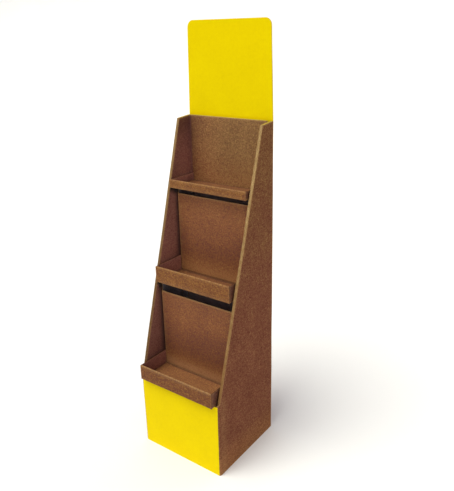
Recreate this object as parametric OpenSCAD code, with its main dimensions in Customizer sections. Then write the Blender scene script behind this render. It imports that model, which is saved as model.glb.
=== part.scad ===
// Free-standing cardboard display stand: a folded outer shell with sloping
// sides, three open trays carried on folded risers, and a header card that
// slides into a pocket on the back.  Millimetres, +Z up, the stand rests on
// Z = 0 and the middle of its outline is on the Z axis.

/* [Outer shell] */
// Outside width across the two side panels
shell_w = 360; // [345:1:400]
// Outside depth from the front panel to the back panel
shell_d = 340; // [335:1:360]
// Height of the back panel and of the side panels at the back
side_h = 1212; // [1190:1:1260]
// Rise of a side panel's top edge towards the back
top_rise = 6; // [0:1:20]
// Depth of the top edge of a side panel
side_top_d = 66; // [50:1:90]
// Height at which the sloping front edge of a side panel begins
slope_foot = 311; // [302:1:330]
// Height of the front panel, which is also the lower tray's underside
front_h = 290; // [280:1:300]
// Thickness of the heavy double-wall board of the shell
shell_t = 10; // [6:0.5:10]
// Width of the glue flap inside the rear right corner
flap_w = 35; // [25:1:45]

/* [Trays] */
// Outside width of the trays and of the risers under them
tray_w = 327; // [300:1:330]
// Thickness of the single-wall board of trays, risers, header and pocket
card_t = 3.5; // [3:0.5:4]
// Height of the upper tray's underside
upper_z = 970.5; // [965:0.5:985]
// Distance of the upper tray's lip behind the front panel
upper_y = 197; // [190:1:205]
// Height of the upper tray's lip
upper_lip = 30.5; // [25:0.5:40]
// Height of the middle tray's underside
middle_z = 640.5; // [635:0.5:655]
// Distance of the middle tray's lip behind the front panel
middle_y = 96; // [88:1:102]
// Height of the middle tray's lip
middle_lip = 61.5; // [45:0.5:65]
// Distance that the lower tray's lip stands in front of the front panel
lower_over = 19; // [10:1:28]
// Height of the lower tray's lip
lower_lip = 58.5; // [45:0.5:62]
// Height of the glue flange turned down at the back of each tray
tray_flange = 32; // [20:1:40]

/* [Risers] */
// Distance of the upper riser's face behind the front panel
upper_riser_y = 236; // [230:1:245]
// Height of the upper riser's face
upper_riser_h = 943; // [930:1:955]
// Distance of the middle riser's face behind the front panel
middle_riser_y = 119; // [112:1:128]
// Height of the middle riser's face
middle_riser_h = 597; // [585:1:615]
// Height of the lower riser's face, behind the front panel
lower_riser_h = 268; // [240:1:272]
// Width of the ledges that carry a tray
ledge_w = 42; // [30:1:50]
// Width of the glue flanges at the back of a riser
flange_w = 28; // [20:1:30]

/* [Header] */
// Height of the header's top edge
header_top = 1529; // [1480:1:1560]
// Width of the header at its shoulders
header_foot_w = 355; // [340:1:358]
// Width of the header at its top edge
header_top_w = 339; // [320:1:342]
// Radius of the header's top corners
header_r = 24; // [10:1:40]
// Width of the header's tongue
tongue_w = 256; // [200:1:260]
// Depth of the tongue below the shoulders
tongue_d = 120; // [80:1:150]
// Height of the header's shoulders below the top of the back panel
shoulder_drop = 10; // [5:1:20]
// Width of each glue strip of the pocket
pocket_strip = 34; // [25:1:40]

/* [Hidden] */
$fn = 48;
kraft = [0.55, 0.38, 0.22];
kraft_dark = [0.44, 0.28, 0.19];
yellow = [0.93, 0.83, 0.02];
fold_in = 1;                       // inside radius of every fold
ro_s = fold_in + shell_t;          // outside radius of a fold in the shell
ro_c = fold_in + card_t;           // outside radius of a fold in single-wall board
hw = shell_w / 2;
tw = tray_w / 2;
back_in = shell_d - shell_t;       // inside face of the back panel
flap_t = shell_t / 4;              // the glue flap is crushed to a quarter of the board
shoulder_z = side_h - shoulder_drop;
rear = shell_d + 2 * card_t;       // rear face of the pocket
y_mid = (rear - lower_over) / 2;   // middle of the whole outline

// ---- helpers -------------------------------------------------------------

// Box from one corner to the opposite one.
module block(a, b) translate(a) cube(b - a);

// Quarter of a ring in one quadrant, the section of a fold.
module fold_section(sx, sy, ro, ri = fold_in)
    intersection() {
        difference() { circle(ro); circle(ri); }
        translate([sx > 0 ? 0 : -ro, sy > 0 ? 0 : -ro]) square(ro);
    }

// Fold that runs along Z, its centre at (x, y).
module fold_z(x, y, sx, sy, ro, z0, z1, ri = fold_in)
    translate([x, y, z0]) linear_extrude(z1 - z0) fold_section(sx, sy, ro, ri);

// Fold that runs along Y, its centre at (x, z).
module fold_y(x, z, sx, sz, ro, y0, y1)
    translate([x, y1, z]) rotate([90, 0, 0]) linear_extrude(y1 - y0) fold_section(sx, sz, ro);

// Fold that runs along X, its centre at (y, z).
module fold_x(y, z, sy, sz, ro, x0, x1)
    translate([x0, y, z]) rotate([90, 0, 90]) linear_extrude(x1 - x0) fold_section(sy, sz, ro);

// Plate in a plane across X, from its outline in Y and Z.
module plate_x(x0, x1, outline)
    translate([x0, 0, 0]) rotate([90, 0, 90]) linear_extrude(x1 - x0) polygon(outline);

// Plate in a plane across Y, drawn in X and Z by its child.
module plate_y(y0, y1)
    translate([0, y1, 0]) rotate([90, 0, 0]) linear_extrude(y1 - y0) children();

// ---- outer shell: one folded sheet ---------------------------------------

// Outline of a side panel; it ends at y_end at the back.
function side_outline(y_end) = [
    [ro_s, 0], [y_end, 0],
    [y_end, side_h - top_rise * (shell_d - y_end) / side_top_d],
    [shell_d - side_top_d, side_h - top_rise], [ro_s, slope_foot]];

module outer_shell() color(kraft_dark) translate([0, -y_mid, 0]) union() {
    // side panels, the right one with a free cut edge at the back
    plate_x(-hw, -hw + shell_t, side_outline(shell_d - ro_s));
    plate_x(hw - shell_t, hw, side_outline(shell_d));
    // front panel and its two folds, which carry the sloping edge round the corner
    block([-hw + ro_s, 0, 0], [hw - ro_s, shell_t, front_h]);
    for (s = [-1, 1]) intersection() {
        fold_z(s * (hw - ro_s), ro_s, s, -1, ro_s, 0, slope_foot);
        plate_x(s > 0 ? hw - ro_s : -hw, s > 0 ? hw : -hw + ro_s,
                [[0, 0], [ro_s, 0], [ro_s, slope_foot], [0, front_h]]);
    }
    // back panel, the fold to the left side, and the glue flap on the right
    block([-hw + ro_s, back_in, 0], [hw - shell_t - ro_s, shell_d, side_h]);
    fold_z(-hw + ro_s, shell_d - ro_s, -1, 1, ro_s, 0, side_h - top_rise * ro_s / side_top_d);
    fold_z(hw - shell_t - ro_s, shell_d - ro_s, 1, 1, ro_s, 0, side_h - 8, ro_s - flap_t);
    plate_x(hw - shell_t - flap_t, hw - shell_t, [
        [shell_d - ro_s, 0], [shell_d - ro_s, side_h - 8],
        [back_in - flap_w, side_h - 34], [back_in - flap_w, 22]]);
}

// ---- trays: each one folded sheet ----------------------------------------

// Section of a rolled lip in Y and Z: outer panel, rounded top, inner panel.
module lip_section(y0, z0, h) {
    r = 2.2;
    translate([y0, z0 + ro_c]) square([card_t, h - ro_c - r]);
    translate([y0 + card_t, z0 + card_t]) square([card_t, h - card_t - r]);
    translate([y0 + r, z0 + h - r]) square([2 * card_t - 2 * r, r]);
    for (s = [r, 2 * card_t - r]) translate([y0 + s, z0 + h - r]) circle(r);
}

// Tray with its lip at y0, its underside at z0 and its back at y1.
module tray(y0, z0, h, y1) {
    // floor with its front and side folds
    block([-tw + ro_c, y0 + ro_c, z0], [tw - ro_c, y1 - ro_c, z0 + card_t]);
    fold_x(y0 + ro_c, z0 + ro_c, -1, -1, ro_c, -tw + ro_c, tw - ro_c);
    for (s = [-1, 1]) {
        fold_y(s * (tw - ro_c), z0 + ro_c, s, -1, ro_c, y0 + ro_c, y1 - ro_c);
        // side wall
        block([s > 0 ? tw - card_t : -tw, y0 + 2 * card_t, z0 + ro_c],
              [s > 0 ? tw : -tw + card_t, y1 - ro_c, z0 + h]);
    }
    // rolled lip
    translate([-tw, 0, 0]) rotate([90, 0, 90]) linear_extrude(2 * tw) lip_section(y0, z0, h);
    // glue flange turned down at the back
    fx = tw - ro_c - ledge_w + 4;
    fold_x(y1 - ro_c, z0 - fold_in, 1, 1, ro_c, -fx, fx);
    block([-fx, y1 - card_t, z0 - fold_in - tray_flange], [fx, y1, z0 - fold_in]);
}

module upper_tray() color(kraft) translate([0, -y_mid, 0])
    tray(upper_y, upper_z, upper_lip, back_in);

module middle_tray() color(kraft) translate([0, -y_mid, 0])
    tray(middle_y, middle_z, middle_lip, upper_riser_y);

module lower_tray() color(kraft) translate([0, -y_mid, 0])
    tray(-lower_over, front_h, lower_lip, middle_riser_y);

// ---- risers: each one folded sheet, a U in plan ---------------------------

// Riser with its face at y0, glue flanges against y1, face height h, and
// ledges whose upper side is at z1.
module riser(y0, y1, h, z1) {
    // face
    block([-tw + ro_c, y0, 0], [tw - ro_c, y0 + card_t, h]);
    for (s = [-1, 1]) {
        xo = s * (tw - ro_c);
        // fold to the leg, the leg, and the fold to the glue flange
        fold_z(xo, y0 + ro_c, s, -1, ro_c, 0, h);
        block([s > 0 ? tw - card_t : -tw, y0 + ro_c, 0],
              [s > 0 ? tw : -tw + card_t, y1 - ro_c, z1 - ro_c]);
        fold_z(xo, y1 - ro_c, s, 1, ro_c, 0, z1 - 2 * tray_flange);
        block([s > 0 ? tw - ro_c - flange_w : -tw + ro_c, y1 - card_t, 0],
              [s > 0 ? tw - ro_c : -tw + ro_c + flange_w, y1, z1 - 2 * tray_flange]);
        // ledge turned in at the top of the leg
        fold_y(xo, z1 - ro_c, s, 1, ro_c, y0 + 3 * ro_c, y1 - 2 * ro_c);
        block([s > 0 ? tw - ro_c - ledge_w : -tw + ro_c, y0 + 3 * ro_c, z1 - card_t],
              [s > 0 ? tw - ro_c : -tw + ro_c + ledge_w, y1 - 2 * ro_c, z1]);
    }
}

module upper_riser() color(kraft) translate([0, -y_mid, 0])
    riser(upper_riser_y, back_in, upper_riser_h, upper_z);

module middle_riser() color(kraft) translate([0, -y_mid, 0])
    riser(middle_riser_y, upper_riser_y, middle_riser_h, middle_z);

module lower_riser() color(kraft) translate([0, -y_mid, 0])
    riser(shell_t, middle_riser_y, lower_riser_h, front_h);

// ---- header card and its pocket -------------------------------------------

// Slope of the header's side, its outward normal, and the corner centre.
run_x = (header_top_w - header_foot_w) / 2;
run_z = header_top - shoulder_z;
run_l = sqrt(run_x * run_x + run_z * run_z);
nx = run_z / run_l;
nz = -run_x / run_l;
corner_x = header_top_w / 2 + header_r * (nz - 1) / nx;
corner_z = header_top - header_r;

// Points round the right-hand top corner, from the side up to the top edge.
corner_a = atan2(nz, nx);
corner_n = 16;
corner_pts = [for (i = [0 : corner_n]) let (a = corner_a + (90 - corner_a) * i / corner_n)
    [corner_x + header_r * cos(a), corner_z + header_r * sin(a)]];

module header_card() color(yellow) translate([0, -y_mid, 0])
    plate_y(shell_d, shell_d + card_t)
        polygon(concat(
            [[-header_foot_w / 2, shoulder_z], [-tongue_w / 2, shoulder_z],
             [-tongue_w / 2, shoulder_z - tongue_d + 12], [-tongue_w / 2 + 12, shoulder_z - tongue_d],
             [tongue_w / 2 - 12, shoulder_z - tongue_d], [tongue_w / 2, shoulder_z - tongue_d + 12],
             [tongue_w / 2, shoulder_z], [header_foot_w / 2, shoulder_z]],
            corner_pts,
            [for (i = [corner_n : -1 : 0]) [-corner_pts[i][0], corner_pts[i][1]]]));

// Pocket: two glue strips against the back panel and a raised middle panel.
module header_pocket() color(kraft_dark) translate([0, -y_mid, 0]) {
    xi = tongue_w / 2 + 0.5;
    z0 = shoulder_z - tongue_d - 20;
    block([-xi - card_t, shell_d + card_t, z0], [xi + card_t, rear, shoulder_z - 30]);
    for (s = [-1, 1])
        block([s > 0 ? xi : -xi - pocket_strip, shell_d, z0],
              [s > 0 ? xi + pocket_strip : -xi, shell_d + card_t, shoulder_z]);
    // closed foot under the tongue
    block([-xi, shell_d, z0], [xi, shell_d + card_t, z0 + 20]);
}

outer_shell();
upper_tray();
middle_tray();
lower_tray();
upper_riser();
middle_riser();
lower_riser();
header_card();
header_pocket();
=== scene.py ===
import math

import bpy
import numpy as np
from mathutils import Matrix, Vector
from mathutils.geometry import delaunay_2d_cdt


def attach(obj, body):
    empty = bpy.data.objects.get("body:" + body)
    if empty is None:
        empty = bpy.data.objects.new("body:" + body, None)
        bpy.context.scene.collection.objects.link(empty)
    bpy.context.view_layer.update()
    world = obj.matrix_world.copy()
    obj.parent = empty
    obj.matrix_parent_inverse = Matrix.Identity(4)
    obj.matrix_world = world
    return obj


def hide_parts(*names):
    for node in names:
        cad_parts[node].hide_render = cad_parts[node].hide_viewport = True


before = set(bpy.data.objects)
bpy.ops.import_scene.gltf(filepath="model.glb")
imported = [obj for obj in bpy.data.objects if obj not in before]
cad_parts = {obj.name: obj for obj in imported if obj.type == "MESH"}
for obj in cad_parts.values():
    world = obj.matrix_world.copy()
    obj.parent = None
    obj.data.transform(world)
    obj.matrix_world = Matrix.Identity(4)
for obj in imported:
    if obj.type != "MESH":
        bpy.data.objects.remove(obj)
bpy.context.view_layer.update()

# Every piece is one sheet of corrugated board: its flat blank is cut and
# creased in (u, v), the board's thickness is w, and the folds carry it to its
# place. Lengths here are millimetres; y is counted from the front panel.
Y_MID = 164.0
HALF_PI = math.pi / 2

# ---------------------------------------------------------------- board

SHELL_T = 10.0
CARD_T = 3.5
FOLD_IN = 1.0
# flute layers: from, to, pitch, phase (through the thickness from the outer face)
DOUBLE = [(0.50, 4.75, 8.6, 0.3), (5.25, 9.50, 7.9, 1.9)]
SINGLE = [(0.50, 3.00, 7.2, 0.8)]


def ripple(seed, amp, lo=170.0, hi=540.0, n=5):
    """Slow unevenness of a panel, as an offset through its thickness."""
    rng = np.random.default_rng(seed)
    a, wl, ph = rng.uniform(0, 2 * math.pi, n), rng.uniform(lo, hi, n), rng.uniform(0, 2 * math.pi, n)

    def f(u, v):
        s = np.zeros_like(u)
        for k in range(n):
            s = s + np.sin(2 * math.pi * (u * math.cos(a[k]) + v * math.sin(a[k])) / wl[k] + ph[k])
        return amp * s / math.sqrt(n)

    return f


def bend(a, w, here, hinge, side, t, inner=FOLD_IN, angle=HALF_PI, toward=1, crisp=2.6, straight=None):
    """Folds the part of the sheet that lies past the hinge. a runs across the crease."""
    neutral = inner + t / 2
    length = angle * neutral
    ww = w if toward > 0 else t - w
    d = side * (a - hinge)
    th = np.clip(d / neutral, 0.0, angle)
    if straight is not None:
        th = np.where(straight, angle, th)
    past = np.where(th >= angle, d - length, 0.0)
    c, s = np.cos(th), np.sin(th)
    square = (np.abs(c) ** crisp + np.abs(s) ** crisp) ** (-1.0 / crisp)
    rad = ((t + inner) - ww) * square
    a2 = hinge + side * (rad * s + past * math.cos(angle))
    w2 = (t + inner) - rad * c + past * math.sin(angle)
    if toward < 0:
        w2 = t - w2
    return np.where(here, a2, a), np.where(here, w2, w)


def fold_len(t, inner=FOLD_IN, angle=HALF_PI):
    return angle * (inner + t / 2)


def soften(corners, radius):
    """Outline with its outward corners rounded by the cutting rule's own radius."""
    out = []
    n = len(corners)
    area = sum(corners[i][0] * corners[(i + 1) % n][1] - corners[(i + 1) % n][0] * corners[i][1] for i in range(n))
    for i in range(n):
        p0, p1, p2 = (np.array(corners[(i + k) % n], float) for k in (-1, 0, 1))
        d1, d2 = p1 - p0, p2 - p1
        l1, l2 = np.linalg.norm(d1), np.linalg.norm(d2)
        cross = (d1[0] * d2[1] - d1[1] * d2[0]) * (1 if area > 0 else -1)
        turn = math.asin(max(-1.0, min(1.0, cross / (l1 * l2))))
        if turn < 0.5 or min(l1, l2) < 2.5 * radius:
            out.append(tuple(p1))
            continue
        cut = radius * math.tan(turn / 2) if turn < 1.5 else radius
        a, b = p1 - d1 / l1 * cut, p1 + d2 / l2 * cut
        for k in range(5):
            s = k / 4
            out.append(tuple((1 - s) ** 2 * a + 2 * s * (1 - s) * p1 + s * s * b))
    return out


def inside(poly, p):
    x, y = p[:, 0], p[:, 1]
    r = np.zeros(len(p), bool)
    q = np.roll(poly, -1, axis=0)
    for (x0, y0), (x1, y1) in zip(poly, q):
        if y0 == y1:
            continue
        hit = (y0 > y) != (y1 > y)
        r ^= hit & (x < (x1 - x0) * (y - y0) / (y1 - y0) + x0)
    return r


def edge_gap(poly, p):
    best = np.full(len(p), 1e9)
    q = np.roll(poly, -1, axis=0)
    for a, b in zip(poly, q):
        d = b - a
        l2 = float(d @ d)
        if l2 == 0:
            continue
        s = np.clip(((p - a) @ d) / l2, 0, 1)
        best = np.minimum(best, np.linalg.norm(p - (a + s[:, None] * d), axis=1))
    return best


def within(flat, tri, outline, poly):
    """The triangles that the outline encloses, found by spreading from a large one inside it."""
    a, b, c = flat[tri[:, 0]], flat[tri[:, 1]], flat[tri[:, 2]]
    size = np.abs((b - a)[:, 0] * (c - a)[:, 1] - (b - a)[:, 1] * (c - a)[:, 0])
    size[~inside(poly, (a + b + c) / 3)] = 0.0
    beside = {}
    for k, (i, j, h) in enumerate(tri.tolist()):
        for e in ((i, j), (j, h), (h, i)):
            e = (min(e), max(e))
            if e not in outline:
                beside.setdefault(e, []).append(k)
    touch = [[] for _ in range(len(tri))]
    for pair in beside.values():
        if len(pair) == 2:
            touch[pair[0]].append(pair[1])
            touch[pair[1]].append(pair[0])
    kept = np.zeros(len(tri), bool)
    todo = [int(size.argmax())]
    kept[todo[0]] = True
    while todo:
        for k in touch[todo.pop()]:
            if not kept[k]:
                kept[k] = True
                todo.append(k)
    return kept


def sheet(name, node, corners, t, flutes, rows, place, wave_axis, mats,
          grid=24.0, per_wave=8, coarse_v=None, warp=None, depth=1.3, creases=(), frayed=1.0):
    """One board: blank outline, crease rows, two liners and the open flutes along its cut edges."""
    corners = [np.array(c, float) for c in corners]
    n = len(corners)
    area = sum(corners[i][0] * corners[(i + 1) % n][1] - corners[(i + 1) % n][0] * corners[i][1] for i in range(n))
    if area < 0:
        corners.reverse()
    poly = np.array(corners)
    fine = min(f[2] for f in flutes)

    # boundary, finely stepped where it cuts across the flutes
    pts = []
    for a, b in zip(poly, np.roll(poly, -1, axis=0)):
        d = b - a
        length = float(np.linalg.norm(d))
        rate = abs(d[wave_axis]) / length
        waves = per_wave
        if coarse_v is not None and abs(a[1] - coarse_v) < 1e-6 and abs(b[1] - coarse_v) < 1e-6:
            waves = 5
        step = min(14.0, fine / waves / rate) if rate > 0.05 else 14.0
        k = max(1, int(math.ceil(length / step)))
        pts += [a + d * (j / k) for j in range(k)]
    edge = np.array(pts)
    m = len(edge)
    nxt, prv = np.roll(edge, -1, axis=0), np.roll(edge, 1, axis=0)
    d1, d2 = edge - prv, nxt - edge
    d1 /= np.linalg.norm(d1, axis=1)[:, None]
    d2 /= np.linalg.norm(d2, axis=1)[:, None]
    nin = np.stack([-(d1 + d2)[:, 1], (d1 + d2)[:, 0]], axis=1)
    nin /= np.maximum(np.linalg.norm(nin, axis=1), 1e-6)[:, None]

    # a row of points just inside the cut, crease rows, and an even fill
    rings = []
    for deep_in, gap_min, apart in ((2.2, 1.8, 2.6), (6.2, 5.4, 6.0)):
        ring, last = [], None
        for p in edge + deep_in * nin:
            if last is None or np.linalg.norm(p - last) > apart:
                ring.append(p)
                last = p
        ring = np.array(ring)
        rings.append(ring[inside(poly, ring) & (edge_gap(poly, ring) > gap_min)])
    ring = np.concatenate(rings)
    line_pts, line_edges, zones = [], [], []
    base = m + len(ring)
    for (a, b, step) in rows:
        a, b = np.array(a, float), np.array(b, float)
        k = max(1, int(round(np.linalg.norm(b - a) / step)))
        first = base + len(line_pts)
        line_pts += [a + (b - a) * (j / k) for j in range(k + 1)]
        line_edges += [(first + j, first + j + 1) for j in range(k)]
        zones.append((np.minimum(a, b), np.maximum(a, b)))
    lo, hi = poly.min(axis=0), poly.max(axis=0)
    gu, gv = np.meshgrid(np.arange(lo[0] + grid / 2, hi[0], grid), np.arange(lo[1] + grid / 2, hi[1], grid))
    gu = gu + (np.arange(gu.shape[0]) % 2)[:, None] * grid / 2
    fill = np.stack([gu.ravel(), gv.ravel()], axis=1)
    fill = fill[inside(poly, fill) & (edge_gap(poly, fill) > 11.0)]
    for zlo, zhi in zones:
        near = np.all((fill > zlo - 4.0) & (fill < zhi + 4.0), axis=1)
        fill = fill[~near]
    # fill points that fall in a crease row's way are left to the row
    allp = np.concatenate([edge, ring, np.array(line_pts).reshape(-1, 2), fill])
    cons = [(i, (i + 1) % m) for i in range(m)] + line_edges
    got = delaunay_2d_cdt([Vector(p) for p in allp.tolist()], cons, [], 0, 1e-5, True)
    flat = np.array([tuple(p) for p in got[0]])
    tri = np.array(got[2], dtype=np.int64)
    outline = {(min(e), max(e)) for e, src in zip(got[1], got[4]) if any(k < m for k in src)}
    tri = tri[within(flat, tri, outline, poly)]
    where = {}
    for k, src in enumerate(got[3]):
        for s in src:
            where[s] = k
    loop = np.array([where[i] for i in range(m)])
    used = np.unique(np.concatenate([tri.ravel(), loop]))
    renum = np.full(len(flat), -1)
    renum[used] = np.arange(len(used))
    flat, tri, loop = flat[used], renum[tri], renum[loop]
    nf = len(flat)
    on_edge = np.zeros(nf, bool)
    on_edge[loop] = True

    # signed area keeps every triangle the same way round
    a, b, c = flat[tri[:, 0]], flat[tri[:, 1]], flat[tri[:, 2]]
    flip = ((b - a)[:, 0] * (c - a)[:, 1] - (b - a)[:, 1] * (c - a)[:, 0]) < 0
    tri[flip] = tri[flip][:, ::-1]

    # the cut crushes the board's edge a little
    pinch = 0.25
    w_out = np.where(on_edge, pinch, 0.0)
    w_in = np.where(on_edge, t - pinch, t)

    # rows through the thickness of the cut: liners and mediums flush, flutes open
    q = edge[:, wave_axis]
    lines = []
    med = 0.42
    for (za, zb, pitch, phase) in flutes:
        amp = (zb - za) / 2 - med / 2 - 0.05
        h = (za + zb) / 2 + amp * np.sin(2 * math.pi * q / pitch + phase)
        for g0, g1 in ((np.full(m, za), h - med / 2), (h + med / 2, np.full(m, zb))):
            gap = g1 - g0
            e = np.minimum(0.06, gap / 4)
            dep = np.minimum(depth, 0.85 * gap)
            lines += [(g0, np.zeros(m)), (g0 + e, dep), (g1 - e, dep), (g1, np.zeros(m))]
    rows_n = len(lines)
    su = np.concatenate([edge[:, 0] + nin[:, 0] * dpt for _, dpt in lines])
    sv = np.concatenate([edge[:, 1] + nin[:, 1] * dpt for _, dpt in lines])
    sw = np.concatenate([w for w, _ in lines])
    deep = np.concatenate([dpt for _, dpt in lines])

    u = np.concatenate([flat[:, 0], flat[:, 0], su])
    v = np.concatenate([flat[:, 1], flat[:, 1], sv])
    w = np.concatenate([w_out, w_in, sw])
    co = place(u, v, w)
    if warp is not None:
        co = co + warp(u, v)
    co = np.stack([co[:, 0], co[:, 1] - Y_MID, co[:, 2]], axis=1) / 1000.0

    ia, ib = loop, np.roll(loop, -1)
    strip = [ia] + [2 * nf + k * m + np.arange(m) for k in range(rows_n)] + [nf + ia]
    quads = []
    for k in range(len(strip) - 1):
        p, r = strip[k], strip[k + 1]
        quads.append(np.stack([p, np.roll(p, -1), np.roll(r, -1), r], axis=1))
    quads = np.concatenate(quads)
    out_tri, in_tri = tri[:, ::-1], tri + nf
    nt = len(tri)

    # whichever way the blank is laid, the faces look outward
    sol = np.concatenate([out_tri, in_tri, quads[:, [0, 1, 2]], quads[:, [0, 2, 3]]])
    vol = np.einsum("ij,ij->i", co[sol[:, 0]], np.cross(co[sol[:, 1]], co[sol[:, 2]])).sum()
    if vol < 0:
        out_tri, in_tri, quads = out_tri[:, ::-1], in_tri[:, ::-1], quads[:, ::-1]

    me = bpy.data.meshes.new(name)
    loops = np.concatenate([out_tri.ravel(), in_tri.ravel(), quads.ravel()]).astype(np.int32)
    sizes = np.concatenate([np.full(2 * nt, 3), np.full(len(quads), 4)])
    starts = np.concatenate([[0], np.cumsum(sizes)[:-1]]).astype(np.int32)
    me.vertices.add(len(co))
    me.vertices.foreach_set("co", co.astype(np.float32).ravel())
    me.loops.add(len(loops))
    me.loops.foreach_set("vertex_index", loops)
    me.polygons.add(len(sizes))
    me.polygons.foreach_set("loop_start", starts)
    mat_i = np.concatenate([np.zeros(nt), np.ones(nt), np.full(len(quads), 2)]).astype(np.int32)
    for mt in mats:
        me.materials.append(mt)
    me.polygons.foreach_set("material_index", mat_i)
    me.polygons.foreach_set("use_smooth", np.ones(len(sizes), bool))
    uv = me.uv_layers.new(name="flat")
    uvs = np.stack([u, v], axis=1)[loops] / 1000.0
    uv.data.foreach_set("uv", uvs.astype(np.float32).ravel())
    # wear along cuts and on the outside of creases, crushed paper and painted shade in their inside, from 0 to 1
    gap = edge_gap(poly, flat)
    rim = frayed * np.exp(-(gap / 3.0) ** 2)
    ridge, crease_crush_shade = np.zeros(nf), np.zeros(nf)
    for axis, at, half, c0, c1, out_k, in_k in creases:
        x, y = flat[:, axis], flat[:, 1 - axis]
        line = np.exp(-((x - at) / half) ** 2) * ((y >= c0) & (y <= c1))
        ridge, crease_crush_shade = np.maximum(ridge, out_k * line), np.maximum(crease_crush_shade, in_k * line)
    att = me.attributes.new("wear", "FLOAT", "POINT")
    att.data.foreach_set("value", np.concatenate([np.maximum(rim, ridge), rim, np.ones(len(su))]).astype(np.float32))
    att = me.attributes.new("crease_crush_shade", "FLOAT", "POINT")
    att.data.foreach_set("value", np.concatenate([np.zeros(nf), crease_crush_shade, np.zeros(len(su))]).astype(np.float32))
    att = me.attributes.new("deep", "FLOAT", "POINT")
    att.data.foreach_set("value", np.concatenate([np.zeros(2 * nf), deep / depth]).astype(np.float32))
    me.update(calc_edges=True)
    me.validate()
    me.set_sharp_from_angle(angle=math.radians(40))
    ob = bpy.data.objects.new(name, me)
    bpy.context.scene.collection.objects.link(ob)
    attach(ob, "root")
    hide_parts(node)
    return ob


# ---------------------------------------------------------------- materials


class Nodes:
    """Small helper that writes a material's node tree."""

    def __init__(self, name):
        self.mat = bpy.data.materials.new(name)
        self.mat.use_nodes = True
        self.tree = self.mat.node_tree
        self.tree.nodes.clear()
        self.out = self.tree.nodes.new("ShaderNodeOutputMaterial")

    def add(self, kind, **kw):
        nd = self.tree.nodes.new("ShaderNode" + kind)
        for k, val in kw.items():
            if hasattr(nd, k):
                setattr(nd, k, val)
        return nd

    def put(self, nd, key, val):
        s = nd.inputs[key]
        if isinstance(val, bpy.types.NodeSocket):
            self.tree.links.new(val, s)
        else:
            s.default_value = val

    def math(self, op, a, b=0.0, c=None, clamp=False):
        nd = self.add("Math", operation=op, use_clamp=clamp)
        self.put(nd, 0, a)
        self.put(nd, 1, b)
        if c is not None:
            self.put(nd, 2, c)
        return nd.outputs[0]

    def mix(self, fac, a, b):
        nd = self.add("Mix", data_type="RGBA")
        self.put(nd, "Factor", fac)
        self.put(nd, 6, a)
        self.put(nd, 7, b)
        return nd.outputs[2]

    def noise(self, vec, scale, detail=2.0, rough=0.5, dist=0.0):
        nd = self.add("TexNoise")
        self.put(nd, "Vector", vec)
        self.put(nd, "Scale", scale)
        self.put(nd, "Detail", detail)
        self.put(nd, "Roughness", rough)
        self.put(nd, "Distortion", dist)
        return nd.outputs["Fac"]

    def ramp(self, fac, stops, mode="EASE"):
        nd = self.add("ValToRGB")
        cr = nd.color_ramp
        cr.interpolation = mode
        while len(cr.elements) < len(stops):
            cr.elements.new(0.5)
        for e, (pos, col) in zip(cr.elements, stops):
            e.position = pos
            e.color = col if len(col) == 4 else (*col, 1.0)
        self.put(nd, 0, fac)
        return nd.outputs[0]

    def span(self, val, lo, hi, to_lo=0.0, to_hi=1.0, smooth=False):
        nd = self.add("MapRange", clamp=True)
        if smooth:
            nd.interpolation_type = "SMOOTHSTEP"
        for k, x in enumerate((val, lo, hi, to_lo, to_hi)):
            self.put(nd, k, x)
        return nd.outputs[0]

    def scaled(self, vec, by, shift=(0, 0, 0), turn=0.0):
        nd = self.add("Mapping")
        self.put(nd, "Vector", vec)
        self.put(nd, "Scale", by)
        self.put(nd, "Location", shift)
        self.put(nd, "Rotation", (0.0, 0.0, turn))
        return nd.outputs[0]


def lin(r, g, b):
    """sRGB levels to scene colour."""
    f = lambda x: x / 255 / 12.92 if x <= 10.3 else ((x / 255 + 0.055) / 1.055) ** 2.4
    return (f(r), f(g), f(b), 1.0)


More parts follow.
